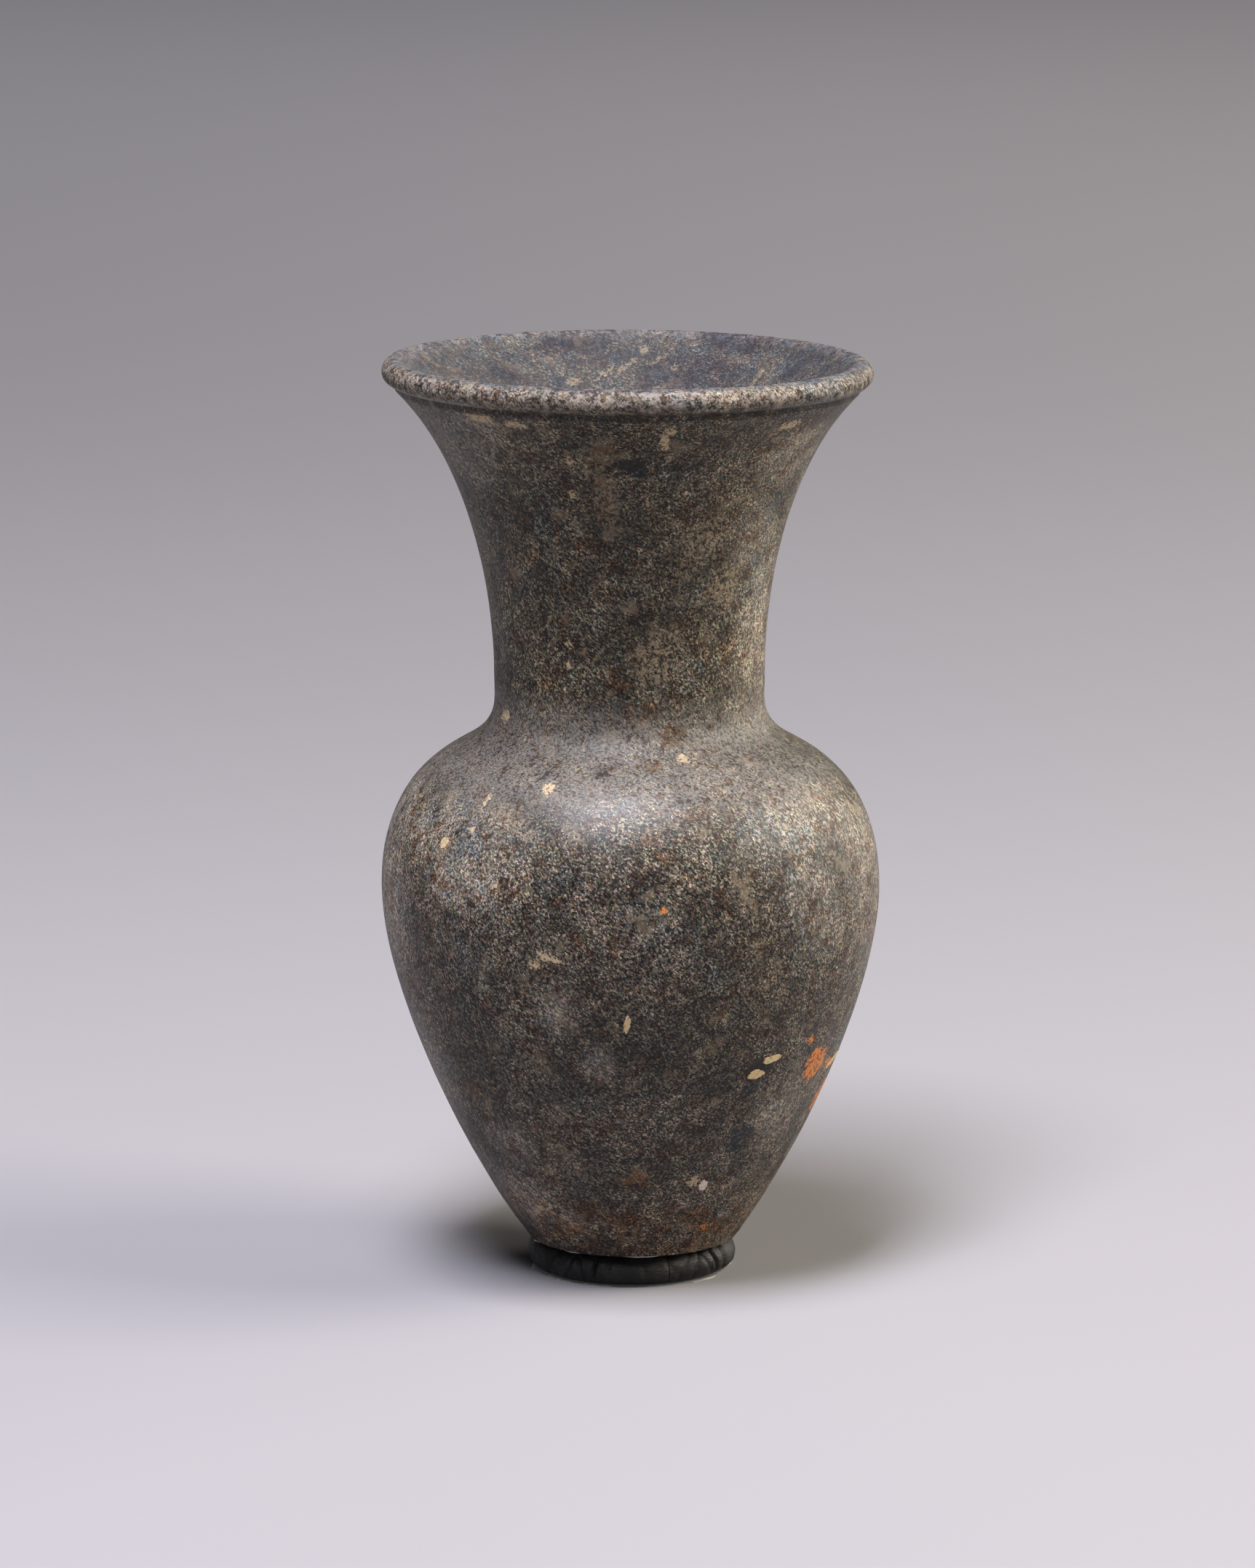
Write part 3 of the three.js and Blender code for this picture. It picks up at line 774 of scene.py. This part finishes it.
def crusted_colour(tree, colour, place, warped, dark, lip):
    """Minerals, clay and lime at their marks and on the lip, painted shadow beside the crust flakes, and
    where the crusts are thick.
    """
    see_through = maths(tree, "SUBTRACT", 1.0, product(tree, dark, SHOW_THROUGH))
    slate = ragged(tree, mark_mask(tree, warped, SLATE_MARKS, outer_radius, SLATE_EDGE), place, 11)
    colour = multiply_colour(tree, product(tree, slate, SLATE_SHARE), colour, SLATE)
    tan = mark_mask(tree, warped, TAN_MARKS, outer_radius, TORN_EDGE)
    tan = product(tree, tan, stain(tree, place, *TORN_TAN_STAIN), see_through)
    colour = mix_colour(tree, tan, colour, TAN_FILM)
    dark_marks_and_shadow = mark_mask(tree, warped, DARK_MARKS_AND_SHADOW, outer_radius, HARD_EDGE)
    colour = mix_colour(tree, product(tree, dark_marks_and_shadow, DARK_MARK_AND_SHADOW_SHARE), colour, DARK_MINERAL_AND_SHADOW)
    orange = ragged(tree, mark_mask(tree, warped, ORANGE_MARKS, outer_radius, SOFT_EDGE), place, 5)
    orange = product(tree, orange, see_through)
    colour = mix_colour(tree, product(tree, orange, ORANGE_SHARE), colour, ORANGE)
    colour = mix_colour(tree, product(tree, lip, stain(tree, place, *LIME_STAIN)), colour, LIME)
    colour = mix_colour(tree, product(tree, lip, stain(tree, place, *PIT_STAIN)), colour, DARK_MINERAL_AND_SHADOW)
    cream = ragged(tree, mark_mask(tree, warped, CREAM_MARKS, outer_radius, TORN_EDGE), place, 9, 1.8)
    cream = product(tree, cream, see_through)
    colour = mix_colour(tree, product(tree, cream, CREAM_SHARE), colour, CREAM)
    return colour, largest(tree, orange, cream)


def mouth_colour(tree, colour, place, warped, inside):
    """The mouth's inside, rubbed with coarse grit in slanting strokes."""
    scratched = millimetres(tree, turn=(0, 48, 0), stretch=(1, 1, 0.1))
    scratches = ramp(tree, grain(tree, scratched, 2.6, 3, 0.6), 0.35, 0.7, 0.75, 1.35)
    rubbed_tone = scale_colour(tree, MOUTH_TONE, scratches)
    colour = mix_colour(tree, product(tree, inside, MOUTH_SHARE), colour, rubbed_tone)
    colour = multiply_colour(tree, product(tree, inside, stain(tree, place, *MOUTH_STAIN)), colour, BLUE_GREY)
    dusky = mark_mask(tree, warped, DUSKY_MOUTH_MARKS, mouth_radius, TORN_EDGE)
    colour = multiply_colour(tree, product(tree, dusky, inside), colour, MOUTH_DUSK)
    broken = ramp(tree, grain(tree, place, 1.7, 3, 0.7), 0.36, 0.50)
    pale = mark_mask(tree, warped, PALE_MOUTH_MARKS, mouth_radius, HARD_EDGE)
    return mix_colour(tree, product(tree, pale, broken, PALE_MOUTH_SHARE), colour, CREAM)


def stone_material(grains):
    """Satin speckled stone, worn and painted lighter at its bulges, rusty at its foot and matt inside."""
    material, tree, shader = new_material("dark_speckled_stone")
    place = millimetres(tree)
    brushed = millimetres(tree, turn=(0, 42, 12), stretch=(1, 1, 0.62))
    shake = vector_maths(tree, "SUBTRACT", grain(tree, place, 1.6, 5, 0.75, "Color"), (0.5, 0.5, 0.5))
    warped = vector_maths(tree, "MULTIPLY_ADD", shake, MARK_SHAKE, place)
    height = add_node(tree, "ShaderNodeSeparateXYZ", {"Vector": place}).outputs["Z"]
    inside = inside_mask(tree, place, height)
    outside = maths(tree, "SUBTRACT", 1.0, inside)
    lip = product(tree, ramp(tree, height, *LIP_WEAR), outside)
    lip = largest(tree, lip, ramp(tree, height, *CREST))
    # Wear, and painted light and sheen, at the same places
    rubbed_and_painted_light = mark_mask(tree, place, WORN_AND_PAINTED_LIGHT_PLACES, outer_radius, SOFT_EDGE)
    wear_and_painted_light = largest(tree, rubbed_and_painted_light, lip)
    speckle = add_node(tree, "ShaderNodeGroup", {"Place": brushed, "WearAndPaintedLight": wear_and_painted_light}, node_tree=grains)
    dark = speckle.outputs["Dark"]
    mottle = grain(tree, place, 0.33, 4, 0.65)

    colour = grained_colour(tree, place, height, speckle, mottle)
    colour = worn_and_painted_light_colour(tree, colour, place, rubbed_and_painted_light, lip, wear_and_painted_light)
    colour = stained_colour(tree, colour, place, brushed, height, wear_and_painted_light)
    colour = rusted_colour(tree, colour, place, warped, height)
    colour, crusted = crusted_colour(tree, colour, place, warped, dark, lip)
    # Dirt and painted shade darken the groove under the lip
    groove = product(tree, band(tree, height, GROOVE_RISE, GROOVE_FALL), outside,
                     stain(tree, place, *GROOVE_DIRT_AND_SHADE_PATCHES))
    colour = multiply_colour(tree, groove, colour, GROOVE_DIRT_AND_SHADE)
    colour = mouth_colour(tree, colour, place, warped, inside)
    tree.links.new(colour, shader.inputs["Base Color"])

    unpolished = largest(tree, inside, lip, crusted)
    satin = ramp(tree, mottle, 0.3, 0.7, *SATIN)
    tree.links.new(largest(tree, satin, product(tree, unpolished, MATT)), shader.inputs["Roughness"])
    polished = product(tree, mark_mask(tree, place, POLISHED_PLACES, outer_radius, POLISH_EDGE),
                       maths(tree, "SUBTRACT", 1.0, unpolished), POLISH)
    tree.links.new(polished, shader.inputs["Coat Weight"])
    relief = maths(tree, "SUBTRACT", product(tree, speckle.outputs["Tone"], TONE_RELIEF),
                   product(tree, dark, PIT_RELIEF))
    relief = maths(tree, "ADD", relief, product(tree, mottle, MOTTLE_RELIEF),
                   product(tree, grain(tree, place, 0.9, 3), lip, LIP_RELIEF))
    add_relief(tree, shader, relief)
    shader.inputs["Specular IOR Level"].default_value = STONE_SPECULAR
    shader.inputs["Coat Roughness"].default_value = POLISH_ROUGHNESS
    return material


grains = stone_grain_group()
end_piece(stone_vase, stone_material(grains), 50)
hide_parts("stone_vase")
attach(stone_vase, "vase")

# Crusts
# A few thin flakes of hard lime and clay still sit on the stone, with broken edges. Each is
# a little plate that follows the stone and stands 0.1 to 0.2 mm proud of it.

# Angle, height, half width, half height, slant in degrees, and thickness, in mm
FLAKES = {"cream_flake_upper": (39.2, 39.3, 1.9, 0.66, 9, 0.16),
          "cream_flake_lower": (35.0, 37.1, 1.60, 0.74, 3, 0.16),
          "cream_flake_side": (74, 35.3, 3.0, 0.35, 17, 0.12),
          "cream_drip": (-1.0, 47.0, 0.50, 1.5, -8, 0.14),
          "cream_spot_left": (-50, 72.8, 0.8, 0.8, 0, 0.10),
          "white_spot_low": (26.6, 18.2, 0.75, 0.95, 20, 0.10)}
FLAKE_SIDES = 64
FLAKE_RINGS = 1.0, 0.93, 0.6, 0.25
FLAKE_RIM = 0.98  # what lies beyond this share of the radius is the rim
FLAKE_LOBES, FLAKE_TEETH = (1.7, 0.30), (7.5, 0.24)  # waves round the outline, and their share
FLAKE_UNEVENNESS, FLAKE_WAVES = 0.04, 2.2
FLAKE_SUNK = 0.12  # how deep the rim lies in the stone, in mm
FLAKE_CREAM = (0.53, 0.39, 0.205, 1)
FLAKE_DIRT = (0.16, 0.11, 0.06, 1)
FLAKE_GREEN = (0.30, 0.33, 0.16, 1)
FLAKE_WHITE = (0.62, 0.50, 0.41, 1)
WHITE_BELOW = 24  # mm above the shelf
FLAKE_RELIEF = 0.06  # mm


def on_stone(degrees, height, proud):
    """A place on the vase's outside, proud of its true form, and leaning as the vase leans."""
    place = on_axis(degrees, outer_radius(height) - SURFACE_DEPTH + proud, height)
    place.x += LEAN * (0.5 - (height - VASE_BOTTOM) / (VASE_TOP - VASE_BOTTOM)) * MM
    return place


def flake_material(grains):
    """Cream crust with green patches and dirty pores, white on the low part of the vase."""
    material, tree, shader = new_material("dried_lime_crust")
    place = millimetres(tree)
    dark = add_node(tree, "ShaderNodeGroup", {"Place": place}, node_tree=grains).outputs["Dark"]
    level = add_node(tree, "ShaderNodeSeparateXYZ", {"Vector": place}).outputs["Z"]
    colour = mix_colour(tree, ramp(tree, grain(tree, place, 0.5, 2), 0.56, 0.66), FLAKE_CREAM, FLAKE_GREEN)
    colour = mix_colour(tree, ramp(tree, level, WHITE_BELOW + 1, WHITE_BELOW - 1), colour, FLAKE_WHITE)
    colour = mix_colour(tree, product(tree, dark, 0.55), colour, FLAKE_DIRT)
    tree.links.new(colour, shader.inputs["Base Color"])
    shader.inputs["Roughness"].default_value = 0.8
    add_relief(tree, shader, product(tree, grain(tree, place, 2.5, 4, 0.6), FLAKE_RELIEF))
    return material


def flake_raggedness(direction, degrees, height):
    """How far the outline reaches in a direction from the flake's middle, as a share of its size."""
    reach = 1.0
    for (waves, share), corner in ((FLAKE_LOBES, (degrees, height, 0)), (FLAKE_TEETH, (height, degrees, 0))):
        reach += share * noise.noise(direction * waves + Vector(corner))
    return reach


def crust_flake(name, degrees, height, half_width, half_height, slant, thickness):
    """A disc of the flake's size, inset in rings and closed, laid onto the stone with a ragged outline."""
    bpy.ops.object.select_all(action="DESELECT")
    bpy.ops.mesh.primitive_circle_add(vertices=FLAKE_SIDES, radius=MM, fill_type="NGON")
    piece = begin_piece(name)
    for outer, inner in zip(FLAKE_RINGS, FLAKE_RINGS[1:]):
        bpy.ops.mesh.inset(thickness=(outer - inner) * MM)
    bpy.ops.mesh.select_all(action="DESELECT")
    bpy.ops.mesh.select_non_manifold(extend=False)
    bpy.ops.mesh.edge_face_add()
    bpy.ops.object.mode_set(mode="OBJECT")
    turn = math.radians(slant)
    degrees_per_mm = 180 / (math.pi * outer_radius(height))
    for vertex in piece.data.vertices:
        flat = vertex.co / MM
        reach = flake_raggedness(flat.normalized(), degrees, height)
        across = flat.x * half_width * reach
        upward = flat.y * half_height * reach
        sideways = across * math.cos(turn) - upward * math.sin(turn)
        rise = across * math.sin(turn) + upward * math.cos(turn)
        uneven = FLAKE_UNEVENNESS * noise.noise(Vector((across, upward, degrees)) * FLAKE_WAVES)
        proud = -FLAKE_SUNK if flat.length > FLAKE_RIM else thickness + uneven
        vertex.co = on_stone(degrees + sideways * degrees_per_mm, height + rise, proud)
    return piece


crust = flake_material(grains)
for name, sizes in FLAKES.items():
    flake = crust_flake(name, *sizes)
    end_piece(flake, crust, 50)
    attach(flake, "vase")

# Room
# A wide sheet of pale grey paper lies flat under the vase. A cool soft lamp hangs high in front
# of it, a little to the left, and two warm ones stand at its right, all about 2 m off.
PAPER_SIZE = 9
# The paper's left and right colours: its right side is painted lighter, standing for light
PAPER_LEFT = (0.241, 0.236, 0.247, 1)
PAPER_RIGHT = (0.256, 0.248, 0.249, 1)
# Painted light on the paper: painted shade just behind the vase and painted light far off: distances in
# metres, and shares
PAPER_PAINTED_SHADE = -0.1, 0.6, 1.0, 0.84
PAPER_PAINTED_LIGHT = 0.8, 3.1, 1.0, 2.9
PAPER_PAINTED_LIGHT_TURNS = -0.3, 0.3  # where it goes from its left colour to its right one
# Name, angle from the front, height angle in degrees, distance, width and height in metres,
# watts and colour. Each lamp is aimed at the vase's middle.
LAMPS = [("key_softbox", -20, 69, 1.9, 0.5, 1.0, 87, (0.89, 0.88, 1.0)),
         ("right_softbox", 83, 38, 1.9, 0.95, 0.95, 44, (1.0, 0.925, 0.805)),
         ("low_right_softbox", 120, 15, 1.9, 1.2, 1.0, 18, (1.0, 0.94, 0.84))]
LAMP_AIM = Vector((0, 0, 0.06))
WORLD_COLOUR = (0.86, 0.87, 0.90, 1)
WORLD_LEVEL = 0.06


def paper_material():
    """Matt paper, painted lighter from left to right, with painted shade just behind the vase and painted
    light far off.
    """
    material, tree, shader = new_material("pale_grey_paper")
    place = add_node(tree, "ShaderNodeTexCoord").outputs["Object"]
    parts = add_node(tree, "ShaderNodeSeparateXYZ", {"Vector": place}).outputs
    painted_light_tone = product(tree, ramp(tree, parts["Y"], *PAPER_PAINTED_SHADE), ramp(tree, parts["Y"], *PAPER_PAINTED_LIGHT))
    tint = mix_colour(tree, ramp(tree, parts["X"], *PAPER_PAINTED_LIGHT_TURNS), PAPER_LEFT, PAPER_RIGHT)
    tree.links.new(scale_colour(tree, tint, painted_light_tone), shader.inputs["Base Color"])
    shader.inputs["Roughness"].default_value = 0.9
    shader.inputs["Specular IOR Level"].default_value = 0.2
    return material


bpy.ops.object.select_all(action="DESELECT")
bpy.ops.mesh.primitive_plane_add(size=PAPER_SIZE)
paper_sheet = begin_piece("paper_sheet")
bpy.ops.object.mode_set(mode="OBJECT")
paper_sheet.data.materials.append(paper_material())

for name, degrees, height_angle, distance, width, height, watts, colour in LAMPS:
    lamp = bpy.data.objects.new(name, bpy.data.lights.new(name, "AREA"))
    lamp.data.shape = "RECTANGLE"
    lamp.data.size = width
    lamp.data.size_y = height
    lamp.data.energy = watts
    lamp.data.color = colour
    level = distance * math.cos(math.radians(height_angle))
    rise = distance * math.sin(math.radians(height_angle))
    lamp.location = LAMP_AIM + on_axis(degrees, level, rise) / MM
    lamp.rotation_euler = (LAMP_AIM - lamp.location).to_track_quat("-Z", "Y").to_euler()
    bpy.context.scene.collection.objects.link(lamp)

world = bpy.data.worlds.new("soft_room")
world.use_nodes = True
background = world.node_tree.nodes["Background"]
background.inputs["Color"].default_value = WORLD_COLOUR
background.inputs["Strength"].default_value = WORLD_LEVEL
bpy.context.scene.world = world
bpy.context.scene.view_settings.view_transform = "Standard"

CAMERA_PLACE = (-0.0004, -1.110, 0.2892)
CAMERA_PITCH = 10.8  # degrees below level
FRAME_HEIGHT = 2156  # pixels
FOCAL_PIXELS = 9908
camera = bpy.data.objects.new("photo_camera", bpy.data.cameras.new("photo_camera"))
camera.data.sensor_width = 36
camera.data.lens = camera.data.sensor_width * FOCAL_PIXELS / FRAME_HEIGHT
camera.location = CAMERA_PLACE
camera.rotation_euler = (math.radians(90 - CAMERA_PITCH), 0, 0)
bpy.context.scene.collection.objects.link(camera)
bpy.context.scene.camera = camera
